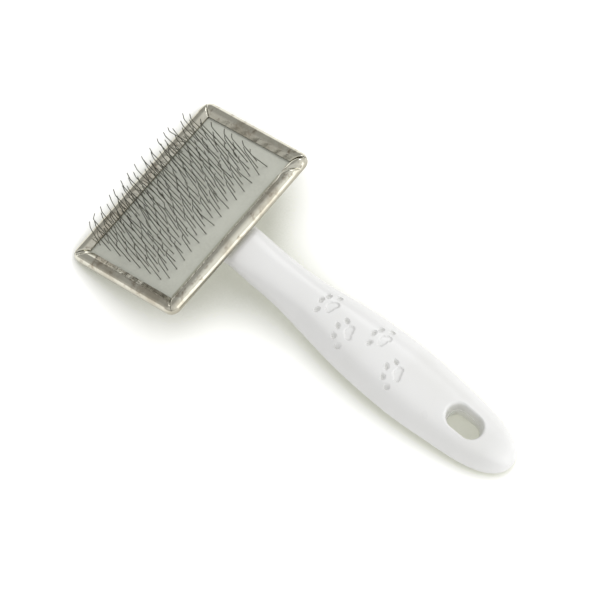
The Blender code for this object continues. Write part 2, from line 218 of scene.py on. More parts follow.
def noiseAt(place, scale, detail=3.0, rough=0.5):
    values = {"Vector": place, "Scale": scale, "Detail": detail, "Roughness": rough}
    return addNode(place.tree, "ShaderNodeTexNoise", {}, values)


def stretched(place, scale):
    return addNode(place.tree, "ShaderNodeMapping", {}, {"Vector": place, "Scale": scale})


def surface(tree, output):
    return addNode(tree, "ShaderNodeNewGeometry", {}, {}, output)


def openness(tree, reach):  # 1 where nothing stands within reach, 0 deep inside a hollow
    values = {"Distance": reach}
    return addNode(tree, "ShaderNodeAmbientOcclusion", {"samples": 8}, values, "AO")


def dotWith(direction, vector):  # 1 where the direction points along the vector
    values = {0: direction, 1: vector}
    kind = "ShaderNodeVectorMath"
    return addNode(direction.tree, kind, {"operation": "DOT_PRODUCT"}, values, "Value")


def about(middle, spread, noiseValue):  # a value that wanders about its middle
    return noiseValue * spread + (middle - spread / 2)


def bump(height, strength, distance):
    values = {"Height": height, "Strength": strength, "Distance": distance}
    return addNode(height.tree, "ShaderNodeBump", {}, values)


plasticLook = {
    "colour": (0.83, 0.83, 0.825, 1.0),
    "worn": (0.79, 0.79, 0.775, 1.0),
    "wornOver": (0.45, 0.85),  # where this and the other blends start and are full
    "cloudScale": 38.0,
    # painted shade: the plastic is darker in tight hollows such as the paw prints
    "hollowShade": (0.66, 0.66, 0.64, 1.0),
    "hollowShadeOver": (0.42, 0.49),
    "roughness": 0.30,
    "roughnessSpread": 0.12,
    "hazeScale": 90.0,
    "peel": 0.00003,
    "peelStrength": 0.25,
    "peelScale": 420.0,
    "refraction": 1.46,
    "paintedGlow": (0.06, 0.06, 0.04, 1.0),  # painted glow in deep hollows, standing in for light soaking through
    "paintedGlowReach": 0.012,
    "paintedGlowOver": (0.15, 0.60),
}


def makePlastic():
    look = plasticLook
    material, tree, shader, place = startMaterial("glossWhitePlastic")
    cloud = noiseAt(place, look["cloudScale"], 4.0)
    tone = cloud.smooth(*look["wornOver"]).mix(look["colour"], look["worn"])
    # painted shade: the colour darkens where the surface is hollow
    shadedHollow = surface(tree, "Pointiness").smooth(*look["hollowShadeOver"])
    feed(shader, "Base Color", shadedHollow.mix(look["hollowShade"], tone))
    haze = noiseAt(place, look["hazeScale"])
    feed(shader, "Roughness", about(look["roughness"], look["roughnessSpread"], haze))
    peel = noiseAt(place, look["peelScale"], 2.0)
    feed(shader, "Normal", bump(peel, look["peelStrength"], look["peel"]))
    feed(shader, "IOR", look["refraction"])
    # painted glow: the plastic emits light where it is deeply enclosed
    bare = openness(tree, look["paintedGlowReach"]).smooth(*look["paintedGlowOver"])
    feed(shader, "Emission Color", bare.mix(look["paintedGlow"], black))
    feed(shader, "Emission Strength", 1.0)
    return material


tinLook = {
    "bright": (0.62, 0.605, 0.52, 1.0),
    "dull": (0.46, 0.425, 0.345, 1.0),
    "dullOver": (0.42, 0.66),
    "patchScale": 55.0,
    "stain": (0.34, 0.30, 0.235, 1.0),
    "stainOver": (0.52, 0.72),
    "spotScale": 260.0,
    "spotStretch": (1.0, 0.7, 1.0),
    "wall": (0.34, 0.32, 0.255, 1.0),  # the outside, painted darker where it turns away from the pan's mouth: painted shade
    "outsideShadeOver": (-0.20, 0.65),
    "up": (-0.441, 0.0, 0.897),  # out of the pan's mouth
    # painted shade in the tight creases of the corner folds
    "creaseShade": (0.10, 0.085, 0.065, 1.0),
    "creaseOver": (0.38, 0.47),
    "rolled": (900.0, 60.0, 900.0),
    "roughness": 0.12,
    "roughnessSpread": 0.08,
    "roughOver": (0.45, 0.75),
    "dents": 0.0004,
    "dentScale": 120.0,
    "dentStrength": 0.30,
    "spotHeight": 0.15,
}


def makeTin():
    look = tinLook
    material, tree, shader, place = startMaterial("tinnedSheet")
    patches = noiseAt(place, look["patchScale"], 5.0, 0.6)
    spots = noiseAt(stretched(place, look["spotStretch"]), look["spotScale"], 4.0, 0.65)
    rolled = noiseAt(stretched(place, look["rolled"]), 1.0)
    tone = patches.smooth(*look["dullOver"]).mix(look["bright"], look["dull"])
    tone = spots.smooth(*look["stainOver"]).mix(tone, look["stain"])
    # painted shade: darker on the outside, where the sheet turns away from the pan's mouth
    inward = dotWith(surface(tree, "Normal"), look["up"]).smooth(*look["outsideShadeOver"])
    # painted shade: darker in the tight creases of the folds
    shadedHollow = surface(tree, "Pointiness").smooth(*look["creaseOver"])
    feed(shader, "Base Color", shadedHollow.mix(look["creaseShade"], inward.mix(look["wall"], tone)))
    rough = patches.smooth(*look["roughOver"]) * look["roughnessSpread"]
    feed(shader, "Roughness", about(look["roughness"], look["roughnessSpread"], rolled) + rough)
    height = noiseAt(place, look["dentScale"], 2.0) + spots * look["spotHeight"]
    feed(shader, "Normal", bump(height, look["dentStrength"], look["dents"]))
    feed(shader, "Metallic", 1.0)
    return material


rubberLook = {
    "colour": (0.64, 0.65, 0.575, 1.0),
    "dark": (0.56, 0.57, 0.50, 1.0),
    "darkOver": (0.40, 0.75),
    "speckleScale": 900.0,
    "speckleShare": 0.35,
    "cloudScale": 60.0,
    "roughness": 0.62,
    "roughnessSpread": 0.16,
    "grain": 0.00008,
    "grainStrength": 0.35,
}


def makeRubber():
    look = rubberLook
    material, _, shader, place = startMaterial("greyRubber")
    speckle = noiseAt(place, look["speckleScale"], 2.0)
    cloud = noiseAt(place, look["cloudScale"], 4.0)
    tone = speckle * look["speckleShare"] + cloud * (1 - look["speckleShare"])
    feed(shader, "Base Color", tone.smooth(*look["darkOver"]).mix(look["colour"], look["dark"]))
    feed(shader, "Roughness", about(look["roughness"], look["roughnessSpread"], cloud))
    feed(shader, "Normal", bump(speckle, look["grainStrength"], look["grain"]))
    return material


wireLook = {
    "colour": (0.21, 0.21, 0.18, 1.0),
    "dark": (0.105, 0.10, 0.088, 1.0),
    "darkOver": (0.40, 0.65),
    "cloudScale": 260.0,
    "cloudDetail": 3.0,
    "roughness": 0.34,
    "roughnessSpread": 0.20,
}
rivetLook = {
    "colour": (0.56, 0.56, 0.57, 1.0),
    "dark": (0.40, 0.39, 0.38, 1.0),
    "darkOver": (0.42, 0.66),
    "cloudScale": 330.0,
    "cloudDetail": 4.0,
    "roughness": 0.32,
    "roughnessSpread": 0.24,
    "grain": 0.00006,
    "grainStrength": 0.25,
}


def makeSteel(name, look):
    material, _, shader, place = startMaterial(name)
    cloud = noiseAt(place, look["cloudScale"], look["cloudDetail"])
    feed(shader, "Base Color", cloud.smooth(*look["darkOver"]).mix(look["colour"], look["dark"]))
    feed(shader, "Roughness", about(look["roughness"], look["roughnessSpread"], cloud))
    if "grain" in look:
        feed(shader, "Normal", bump(cloud, look["grainStrength"], look["grain"]))
    feed(shader, "Metallic", 1.0)
    return material


clothLook = {
    "thread": (0.64, 0.58, 0.46, 1.0),
    "gap": (0.40, 0.35, 0.26, 1.0),
    "threadOver": (0.05, 0.6),
    "pitch": 0.0007,
    "roughness": 0.92,
    "grain": 0.0002,
    "grainStrength": 0.6,
}


def makeCloth():
    look = clothLook
    material, tree, shader, place = startMaterial("cottonCloth")
    values = {"Vector": place, "Scale": 0.31 / look["pitch"]}  # bands are 0.31 / scale apart
    threads = []
    for direction in ("Y", "X"):
        wave = {"wave_type": "BANDS", "bands_direction": direction}
        threads.append(addNode(tree, "ShaderNodeTexWave", wave, values, "Fac"))
    weave = threads[0] * threads[1]
    feed(shader, "Base Color", weave.smooth(*look["threadOver"]).mix(look["gap"], look["thread"]))
    feed(shader, "Roughness", look["roughness"])
    feed(shader, "Normal", bump(weave, look["grainStrength"], look["grain"]))
    return material


feltLook = {
    "colour": (0.50, 0.48, 0.46, 1.0),
    "fibre": (0.34, 0.33, 0.32, 1.0),
    "fibreOver": (0.4, 0.65),
    "fibreScale": 700.0,
    "fibreStretch": (1.0, 3.0, 1.0),
    "roughness": 0.95,
    "grain": 0.0004,
    "grainStrength": 0.8,
}


def makeFelt():
    look = feltLook
    material, _, shader, place = startMaterial("woolFelt")
    fibres = noiseAt(stretched(place, look["fibreStretch"]), look["fibreScale"], 6.0, 0.7)
    feed(shader, "Base Color", fibres.smooth(*look["fibreOver"]).mix(look["colour"], look["fibre"]))
    feed(shader, "Roughness", look["roughness"])
    feed(shader, "Normal", bump(fibres, look["grainStrength"], look["grain"]))
    return material


plastic = makePlastic()
tin = makeTin()
rubber = makeRubber()
wire = makeSteel("pinWire", wireLook)
rivetSteel = makeSteel("rivetSteel", rivetLook)
cottonCloth = makeCloth()
woolFelt = makeFelt()
print("finishes made")


pan = {  # one sheet, its sides turned up and folded in
    "length": 0.0883,
    "width": 0.0611,
    "depth": 0.0061,
    "corners": {(1, 1): 0.0045, (-1, 1): 0.0048, (-1, -1): 0.0044, (1, -1): 0.0046},
    "sheet": 0.0006,
    "baseBend": 0.0028,
    "rimBend": 0.0028,
    "lip": 0.0062,
    "lipFall": 34.0,
    "leastCorner": 0.0006,
    "wobble": 0.00012,
    "wobblePerMetre": 55,
    "bow": 0.0006,  # the rim on the handle side is pressed in a little at its middle
    "bowOver": ((0.016, 0.029), (0.0026, 0.0052)),  # in x and z, where it starts and is full
}
fall = math.radians(pan["lipFall"])
lipEnd = (  # height of the lip's edge
    pan["depth"]
    - pan["rimBend"] * (1 - math.cos(fall))
    - (pan["lip"] - pan["rimBend"] * (1 + math.sin(fall))) * math.tan(fall)
)


def roundedOutline(inset, cornerSteps=20, sideSteps=112):
    halfX, halfY = pan["width"] / 2 - inset, pan["length"] / 2 - inset
    corners = []
    for k, (sx, sy) in enumerate(((1, 1), (-1, 1), (-1, -1), (1, -1))):
        radius = max(pan["corners"][sx, sy] - inset, pan["leastCorner"])
        turns = [math.radians(90 * (k + m / cornerSteps)) for m in range(cornerSteps + 1)]
        cx, cy = sx * (halfX - radius), sy * (halfY - radius)
        corners.append([(cx + radius * math.cos(t), cy + radius * math.sin(t)) for t in turns])
    points = []
    for k, corner in enumerate(corners):
        points += corner
        start, end = corner[-1], corners[(k + 1) % 4][0]
        for m in range(1, sideSteps):  # closer together toward the corners, where the folds are
            t = (1 - math.cos(math.pi * m / sideSteps)) / 2
            points.append((start[0] + (end[0] - start[0]) * t, start[1] + (end[1] - start[1]) * t))
    return points


def bendPoints(centre, radius, start, end, steps):
    turns = [math.radians(start + (end - start) * k / steps) for k in range(steps + 1)]
    return [(centre[0] + radius * math.cos(t), centre[1] + radius * math.sin(t)) for t in turns]


def panSkin(thin):  # the section from the floor to the lip's edge, as (inset, height)
    base = (pan["baseBend"], pan["baseBend"])
    rim = (pan["rimBend"], pan["depth"] - pan["rimBend"])
    points = bendPoints(base, pan["baseBend"] - thin, 270, 180, 10)
    points += bendPoints(rim, pan["rimBend"] - thin, 180, 90 - pan["lipFall"], 22)
    startX, startZ = points[-1]
    endX, endZ = pan["lip"], lipEnd - thin / math.cos(fall)
    steps = 12
    for k in range(1, steps + 1):
        t = k / steps
        points.append((startX + (endX - startX) * t, startZ + (endZ - startZ) * t))
    return points


folds = {  # how the sheet is gathered at each corner, by the signs of x and y
    "creases": {  # place across the fold (long side is positive), width, depth
        (1, 1): (
            (0.0003, 0.0004, 0.0012),
            (0.0018, 0.0009, -0.0003),
            (0.0044, 0.0007, 0.0012),
            (0.0064, 0.0008, -0.0003),
        ),
        (1, -1): ((0.0, 0.00045, 0.0006), (-0.0013, 0.0006, 0.0003)),
        (-1, -1): ((0.0, 0.00035, 0.0007), (-0.0012, 0.0006, 0.0006)),
        (-1, 1): ((0.0, 0.00030, 0.0003),),
    },
    "within": 0.014,  # how far in from the corner the creases reach
    "creaseOver": (0.0022, 0.0045),
    "riseOver": (0.003, 0.0052),
    "slits": {(1, 1): 0.00030, (1, -1): 0.00016, (-1, -1): 0.00022, (-1, 1): 0.00014},
    "slitStart": 0.0001,
    "slitPast": 0.001,
    "holes": ((1, -1, 0.0061, 0.00042), (-1, -1, 0.0022, 0.00042)),  # corner, distance in, radius
}


def panFolds(x, y, z):  # the lips are never quite flat, and dip into creases where they meet
    rise = smoothStep(*folds["riseOver"], z)
    place = Vector((x * pan["wobblePerMetre"], y * pan["wobblePerMetre"], 4.0))
    shift = pan["wobble"] * rise * noise.noise(place)
    corner = (1 if x > 0 else -1, 1 if y > 0 else -1)
    inX, inY = pan["width"] / 2 - abs(x), pan["length"] / 2 - abs(y)
    across, inward = (inY - inX) / math.sqrt(2), (inX + inY) / math.sqrt(2)
    if inward < folds["within"]:
        reach = smoothStep(*folds["creaseOver"], inward) * rise
        for middle, width, depth in folds["creases"][corner]:
            shift -= depth * reach * math.exp(-(((across - middle) / width) ** 2))
    return shift


def bowIn(x, y, z):
    overX, overZ = pan["bowOver"]
    bow = pan["bow"] * smoothStep(*overZ, z) * smoothStep(*overX, x)
    return x - bow * (1 - (2 * y / pan["length"]) ** 2)


def cornerAt(sx, sy):  # the sharp corner that the rounded one was cut from, and the way inward
    return Vector((sx * pan["width"] / 2, sy * pan["length"] / 2)), Vector((-sx, -sy)).normalized()


def makeSlits():
    slits = bmesh.new()
    levels = (lipEnd - 3 * pan["sheet"], pan["depth"] + 2 * pan["sheet"])
    for (sx, sy), wide in folds["slits"].items():
        sharp, inward = cornerAt(sx, sy)
        across = Vector((-inward.y, inward.x))
        edge = pan["corners"][sx, sy] * (math.sqrt(2) - 1)
        start = sharp + inward * (edge + folds["slitStart"])
        end = sharp + inward * (pan["lip"] + folds["slitPast"]) * math.sqrt(2)
        outline = [start + across * wide / 2, end + across * wide]
        outline += [end - across * wide, start - across * wide / 2]
        skin(slits, [[(p.x, p.y, z) for p in outline] for z in levels])
    return makeSolid("slits", slits)


def makeHoles():
    holes = bmesh.new()
    levels = (lipEnd - 3.3 * pan["sheet"], pan["depth"] + 2.3 * pan["sheet"])
    for sx, sy, distance, radius in folds["holes"]:
        sharp, inward = cornerAt(sx, sy)
        spot = sharp + inward * distance
        skin(holes, [[(spot.x + a, spot.y + b, z) for a, b in circle(radius, 16)] for z in levels])
    return makeSolid("holes", holes)


def makePan():
    loops = []
    for inset, z in panSkin(0.0) + panSkin(pan["sheet"])[::-1]:
        outline = roundedOutline(inset)
        loops.append([(bowIn(x, y, z), y, z + panFolds(x, y, z)) for x, y in outline])
    bm = bmesh.new()
    skin(bm, loops)
    bm = booleanMesh(bm, [("DIFFERENCE", makeSlits()), ("DIFFERENCE", makeHoles())])
    piece = makePiece("headPan", bm, tin)
    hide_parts("head_pan")


makePan()
print("pan folded")


pad = {
    "clear": 0.0003,
    "facing": 0.0010,
    "cloth": 0.0004,
    "crown": 0.0026,
    "corner": 0.0037,
    "columns": 48,
    "rows": 68,
}
mouthX = pan["width"] / 2 - pan["lip"]
mouthY = pan["length"] / 2 - pan["lip"]
roomX, roomY = pan["width"] / 2 - pan["baseBend"], pan["length"] / 2 - pan["baseBend"]
faceTop = lipEnd - pan["sheet"] / math.cos(fall) - pad["clear"]
clothTop = faceTop - pad["facing"] - pad["clear"]
feltTop = clothTop - pad["cloth"] - pad["clear"]


def crownAt(x, y):
    across = max(0.0, 1 - (x / mouthX) ** 2)
    along = max(0.0, 1 - (y / mouthY) ** 2)
    return pad["crown"] * across * along


def crownNormal(x, y):
    step = 0.0003
    slopeX = (crownAt(x + step, y) - crownAt(x - step, y)) / (2 * step)
    slopeY = (crownAt(x, y + step) - crownAt(x, y - step)) / (2 * step)
    return Vector((-slopeX, -slopeY, 1)).normalized()


def roundedSpot(x, y):  # eases a rectangle's corners onto an arc
    corner = pad["corner"]
    u, v = (abs(x) - roomX + corner) / corner, (abs(y) - roomY + corner) / corner
    if u <= 0 or v <= 0:
        return x, y
    farX, farY = u * math.sqrt(1 - v * v / 2), v * math.sqrt(1 - u * u / 2)
    newX, newY = roomX - corner + farX * corner, roomY - corner + farY * corner
    return math.copysign(newX, x), math.copysign(newY, y)


def crownedSheet(name, material, bottom, top, flatBelow=False):
    bm = bmesh.new()
    columns, rows = pad["columns"], pad["rows"]

    def level(height, crowned):
        grid = []
        for i in range(columns + 1):
            line = []
            for j in range(rows + 1):
                x, y = roundedSpot(roomX * (2 * i / columns - 1), roomY * (2 * j / rows - 1))
                line.append(bm.verts.new((x, y, height + (crownAt(x, y) if crowned else 0.0))))
            grid.append(line)
        return grid

    upper, lower = level(top, True), level(bottom, not flatBelow)
    for i in range(columns):
        for j in range(rows):
            bm.faces.new((upper[i][j], upper[i + 1][j], upper[i + 1][j + 1], upper[i][j + 1]))
            bm.faces.new((lower[i][j], lower[i][j + 1], lower[i + 1][j + 1], lower[i + 1][j]))
    rim = [(i, 0) for i in range(columns)] + [(columns, j) for j in range(rows)]
    rim += [(i, rows) for i in range(columns, 0, -1)] + [(0, j) for j in range(rows, 0, -1)]
    for (i, j), (p, q) in zip(rim, rim[1:] + rim[:1]):
        bm.faces.new((lower[i][j], lower[p][q], upper[p][q], upper[i][j]))
    return makePiece(name, bm, material)


under = pan["sheet"] + pad["clear"]
facing = crownedSheet("rubberFacing", rubber, faceTop - pad["facing"], faceTop)
backing = crownedSheet("clothBacking", cottonCloth, clothTop - pad["cloth"], clothTop)
cushion = crownedSheet("feltCushion", woolFelt, under, feltTop, flatBelow=True)
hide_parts("pin_pad")
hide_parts("cloth_backing")
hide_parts("felt_cushion")
print("pad laid in")


pins = {
    "wire": 0.00038,
    "sides": 8,
    "pitch": 0.00478,
    "rowPitch": 0.00304,
    "marginHandleSide": 0.0077,
    "marginFarSide": 0.0014,
    "marginRight": 0.0055,
    "marginLeft": 0.0047,
    "knee": 0.0093,  # heights above the facing
    "tip": 0.0137,
    "leanBelow": 16.7,
    "leanAbove": 21.0,
    "fan": 7.0,  # how far the pins at the ends lean outward
    "buried": 0.0008,
    "straightFoot": 0.001,
    "bendRadius": 0.0011,
    "point": 0.0004,
    "pointWidth": 0.8,  # shares of the wire
    "boxMargin": 0.8,
    "strayAngle": 2.6,
    "loose": 0.25,  # share of pins that stray more
    "looseTimes": 2.2,
    "strayKnee": 0.0005,
    "strayFoot": 0.00012,
    "seed": 11,
}


def pinFeet():
    near, far = mouthX - pins["marginHandleSide"], -mouthX + pins["marginFarSide"]
    right, left = mouthY - pins["marginRight"], -mouthY + pins["marginLeft"]
    for row in range(int((near - far) / pins["rowPitch"] + 1e-6) + 1):
        y = left + (0.0 if row % 2 else pins["pitch"] / 2)
        while y < right + 1e-6:
            yield near - row * pins["rowPitch"], y
            y += pins["pitch"]


def keepInBox(tip):  # no strayed tip passes the outermost straight one
    spot = toRest @ tip
    margin = pins["boxMargin"] * pins["wire"]
    spot.x = max(spot.x, cadBox[0][0] + margin)
    spot.z = min(spot.z, cadBox[1][2] - margin)
    return toRest.inverted() @ spot


def kinkedPath(foot, knee, tip):
    into, out = (knee - foot).normalized(), (tip - knee).normalized()
    reach = pins["bendRadius"]
    path = [foot - into * pins["buried"], foot + into * pins["straightFoot"]]
    for k in range(6):  # a soft knee, as a quadratic beside the corner
        t = k / 5
        path.append((knee - into * reach).lerp(knee, t).lerp(knee.lerp(knee + out * reach, t), t))
    return path + [tip - out * pins["point"], tip]


def addPin(bm, path, radius):
    across = Vector((0, 1, 0))
    loops = []
    for k, point in enumerate(path):
        ahead = path[min(k + 1, len(path) - 1)] - path[max(k - 1, 0)]
        other = ahead.cross(across).normalized()
        side = other.cross(ahead).normalized()
        size = radius * (pins["pointWidth"] if k == len(path) - 1 else 1.0)
        loops.append([point + side * a + other * b for a, b in circle(size, pins["sides"])])
    skin(bm, loops)


def makePins():
    below, above = math.radians(pins["leanBelow"]), math.radians(pins["leanAbove"])
    stray = random.Random(pins["seed"])
    bm = bmesh.new()
    count = 0
    for x, y in pinFeet():
        x += stray.uniform(-1, 1) * pins["strayFoot"]
        y += stray.uniform(-1, 1) * pins["strayFoot"]
        up = crownNormal(x, y)
        away = up.cross(Vector((0, 1, 0))).normalized()
        sideways = up.cross(away).normalized()
        foot = Vector((x, y, faceTop + crownAt(x, y)))
        loose = pins["looseTimes"] if stray.random() < pins["loose"] else 1.0
        lean = [math.radians(stray.gauss(0, pins["strayAngle"] * loose)) for _ in range(4)]
        fan = math.radians(pins["fan"]) * y / mouthY
        toKnee = up + away * math.tan(below + lean[0]) + sideways * math.tan(lean[1] + fan)
        toTip = up - away * math.tan(above + lean[2]) + sideways * math.tan(lean[3] + fan)
        kneeHeight = pins["knee"] + stray.uniform(-1, 1) * pins["strayKnee"]
        knee = foot + toKnee * kneeHeight
        tip = keepInBox(knee + toTip * (pins["tip"] - kneeHeight))
        addPin(bm, kinkedPath(foot, knee, tip), pins["wire"] / 2)
        count += 1
    piece = makePiece("wirePins", bm, wire, 60.0)
    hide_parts("pin_pad")
    print("pins set:", count)


makePins()


handle = {  # distances along its own line, from the pan's lower edge
    "seatAngle": 30.3,
    "reach": 0.1409,
    "tongueLength": 0.0430,
    "tongueWidth": 0.0260,
    "tongueThick": 0.0050,
    "widths": (
        (0.0, 0.0190),
        (0.0245, 0.0193),
        (0.0600, 0.0287),
        (0.0865, 0.0311),
        (0.1100, 0.0290),
        (0.1409, 0.0313),
    ),
    "tops": (
        (0.0, -0.0032),
        (0.0130, -0.0026),
        (0.0620, -0.0004),
        (0.1100, -0.0024),
        (0.1409, -0.0042),
    ),
    "bottoms": (
        (0.0, -0.0138),
        (0.0130, -0.0182),
        (0.0620, -0.0182),
        (0.1100, -0.0172),
        (0.1409, -0.0166),
    ),
    "roundedFrom": 0.0961,
    "outlinePower": 2.2,
    "tipRound": 0.0110,
    "roundLead": 0.0040,
    "shouldersFullAt": 0.0350,
    "shoulderSlope": 0.43,
    "sectionPower": 2.9,
    "shoulderBlend": 9.0,
    "around": 232,
    "neckFrom": 0.42,  # shares of the tongue, back from the pan's edge
    "tongueTo": 0.36,
    "neckSteps": 16,
    "stations": ((0.0, 0.0014, 25), (0.0346, 0.0003, 183)),  # start, step, count
    "stationStep": 0.0010,  # past those
}
halfPan = pan["width"] / 2
tongueBack = -pad["clear"] - handle["tongueThick"]


def fromHandle(x, y, z):  # from the handle's own line to the pan's frame
    turn = math.radians(handle["seatAngle"])
    c, s = math.cos(turn), math.sin(turn)
    return Vector((halfPan + x * c + z * s, y, -x * s + z * c))


def handleSizes(x):  # half width, top, bottom
    power = handle["outlinePower"]
    end = max(0.0, (x - handle["roundedFrom"]) / (handle["reach"] - handle["roundedFrom"]))
    half = throughCurve(handle["widths"], x) / 2 * max(0.0, 1 - end**power) ** (1 / power)
    top, bottom = throughCurve(handle["tops"], x), throughCurve(handle["bottoms"], x)
    tip = max(0.0, (x - handle["reach"] + handle["tipRound"]) / handle["tipRound"])
    middle, reach = (top + bottom) / 2, (top - bottom) / 2 * math.sqrt(max(0.0, 1 - tip**2))
    return half, middle + reach, middle - reach


def sectionShape(shoulder):  # unit section with its upper shoulders planed off
    power, blend = handle["sectionPower"], handle["shoulderBlend"]
    points = []
    for k in range(handle["around"]):
        turn = 2 * math.pi * k / handle["around"]
        y, z = math.cos(turn), math.sin(turn)
        oval = (abs(y) ** power + abs(z) ** power) ** (1 / power)
        plane = max(0.0, shoulder * (abs(y) + handle["shoulderSlope"] * z))
        size = (oval**blend + plane**blend) ** (1 / blend)
        points.append((y / size, z / size))
    wide, high = max(y for y, _ in points), max(z for _, z in points)
    return [(y / wide, z / high if z > 0 else z) for y, z in points]


prints = {  # paw prints: four toes and a pad each, pressed into the top
    "within": (0.034, 0.090),
    "toeDepth": 0.0013,
    "padDepth": 0.0007,
    "padEase": (0.80, 1.08),
    "at": (  # along, across, left foot or right
        (0.0452, 0.0022, 1),
        (0.0575, -0.0026, -1),
        (0.0704, 0.0050, 1),
        (0.0835, -0.0031, -1),
    ),
    "toes": {  # from the pad's middle: along, across, half length, half width, turn
        1: (
            (-0.0008, 0.0046, 0.0014, 0.0010, 20),
            (-0.00465, 0.0024, 0.0014, 0.0010, 50),
            (-0.0060, -0.0008, 0.0015, 0.0010, 75),
            (-0.0049, -0.0051, 0.0015, 0.0011, 60),
        ),
        -1: (
            (-0.0012, -0.0064, 0.0014, 0.0011, 10),
            (-0.0051, -0.0043, 0.0014, 0.0011, -30),
            (-0.0064, -0.0002, 0.0015, 0.0010, -50),
            (-0.0047, 0.0037, 0.0014, 0.0010, -20),
        ),
    },
    "pad": (
        (-0.0012, -0.0005, 0.0019, 0.0020, 0),
        (-0.0001, 0.0012, 0.0016, 0.0013, 30),
        (-0.0013, -0.0023, 0.0015, 0.0012, -20),
    ),
}


def farOut(x, y, cx, cy, rx, ry, turn):  # 1 on the rim of a turned ellipse
    c, s = math.cos(math.radians(turn)), math.sin(math.radians(turn))
    dx, dy = x - cx, y - cy
    return math.hypot((dx * c + dy * s) / rx, (-dx * s + dy * c) / ry)


def pressPrints(x, y):  # how deep the paw prints are at this spot on the top
    deepest = 0.0
    for px, py, side in prints["at"]:
        for cx, cy, rx, ry, turn in prints["toes"][side]:
            far = farOut(x, y, px + cx, py + cy, rx, ry, turn)
            deepest = max(deepest, prints["toeDepth"] * math.sqrt(max(0.0, 1 - far**2)))
        for cx, cy, rx, ry, turn in prints["pad"]:
            far = farOut(x, y, px + cx, py + cy * side, rx, ry, turn * side)
            deepest = max(deepest, prints["padDepth"] * (1 - smoothStep(*prints["padEase"], far)))
    return deepest


def neckLoops():  # out of the tongue into the neck
    loops = []
    rootHalf, rootTop, rootBottom = handleSizes(0.0)
    inside = halfPan - handle["tongueLength"] * handle["neckFrom"]
    topAt, bottomAt = fromHandle(0, 0, rootTop), fromHandle(0, 0, rootBottom)
    start = handle["tongueWidth"] / 2 - pad["clear"]
    low, high = tongueBack + 2 * pad["clear"], -2 * pad["clear"]
    for k in range(handle["neckSteps"]):
        t = k / handle["neckSteps"]
        topX, topZ = inside + (topAt.x - inside) * t, high + (topAt.z - high) * t
        bottomX = inside + (bottomAt.x - inside) * t
        bottomZ = low + (bottomAt.z - low) * t * t * (2 - t)
        half = start + (rootHalf - start) * t * t * (3 - 2 * t)
        loop = []
        for y, z in sectionShape(t / 2):
            u = (z + 1) / 2
            loop.append((bottomX + (topX - bottomX) * u, y * half, bottomZ + (topZ - bottomZ) * u))
        loops.append(loop)
    return loops


def handleStations():  # closest together over the prints and at the rounded tip
    stations = []
    for start, step, count in handle["stations"]:
        stations += [start + step * k for k in range(count)]
    last = handle["reach"] - handle["tipRound"] - handle["roundLead"]
    at = stations[-1] + handle["stationStep"]
    while at < last:
        stations.append(at)
        at += handle["stationStep"]
    span = handle["reach"] - last
    tip = [1 - math.sin(math.radians(angle)) for angle in range(0, 89, 3)]
    return stations + [handle["reach"] - span * short for short in tip]


def handleLoops():
    loops = neckLoops()
    first, last = prints["within"]
    for x in handleStations():
        half, top, bottom = handleSizes(x)
        loop = []
        for y, z in sectionShape(min(1.0, (1 + x / handle["shouldersFullAt"]) / 2)):
            height = bottom + (top - bottom) * (z + 1) / 2
            if z > 0.0 and first < x < last:
                height -= pressPrints(x, y * half)
            loop.append(fromHandle(x, y * half, height))
        loops.append(loop)
    return loops


def makeTongue():
    bm = bmesh.new()
    radius = handle["tongueWidth"] / 2
    centre = halfPan - handle["tongueLength"] + pad["clear"] + radius
    turns = [math.radians(90 + 180 * k / 40) for k in range(41)]
    outline = [(centre + radius * math.cos(t), radius * math.sin(t)) for t in turns]
    reach = halfPan - handle["tongueLength"] * handle["tongueTo"]
    outline = [(reach, radius)] + outline + [(reach, -radius)]
    skin(bm, [[(x, y, z) for x, y in outline] for z in (tongueBack, -pad["clear"])])
    return makeSolid("tongue", bm)


def heightAt(x, y, side):  # the handle's surface over a spot; side is 1 for top, -1 for underside
    half, top, bottom = handleSizes(x)
    tiny = 1e-6
    quarter = sorted(p for p in sectionShape(1.0) if p[0] > -tiny and p[1] * side >= 0)
    want = min(max(abs(y) / half, tiny), 0.999)
    for (y0, z0), (y1, z1) in zip(quarter, quarter[1:]):
        if y0 <= want <= y1:
            z = z0 + (z1 - z0) * (want - y0) / max(y1 - y0, 1e-9)
            return bottom + (top - bottom) * (z + 1) / 2
    return (top + bottom) / 2


def stadium(length, width, steps=18):  # two half circles and the straights between them
    points = []
    for side in (1, -1):
        for k in range(steps + 1):
            turn = math.radians(-90 + 180 * k / steps + (0 if side > 0 else 180))
            x = side * (length - width) / 2 + width / 2 * math.cos(turn)
            points.append((x, width / 2 * math.sin(turn)))
    return points


slot = {  # the hanging slot, drawn in toward the underside, eased more at the end nearer the pan
    "at": 0.1155,
    "length": 0.0168,
    "width": 0.0106,
    "fillet": 0.0012,
    "wideFillet": 0.0019,
    "draft": 0.0009,
    "ledgeAt": 0.52,  # share of the depth where the two mould halves meet
    "ledgeHeight": 0.012,
    "ledge": 0.0005,
    "stepsBelow": 8,
    "stepsAbove": 10,
    "stepLift": 0.00002,
    "flareTo": 97,  # the cutter's own ends, clear of the handle
    "flareLift": 0.0020,
}


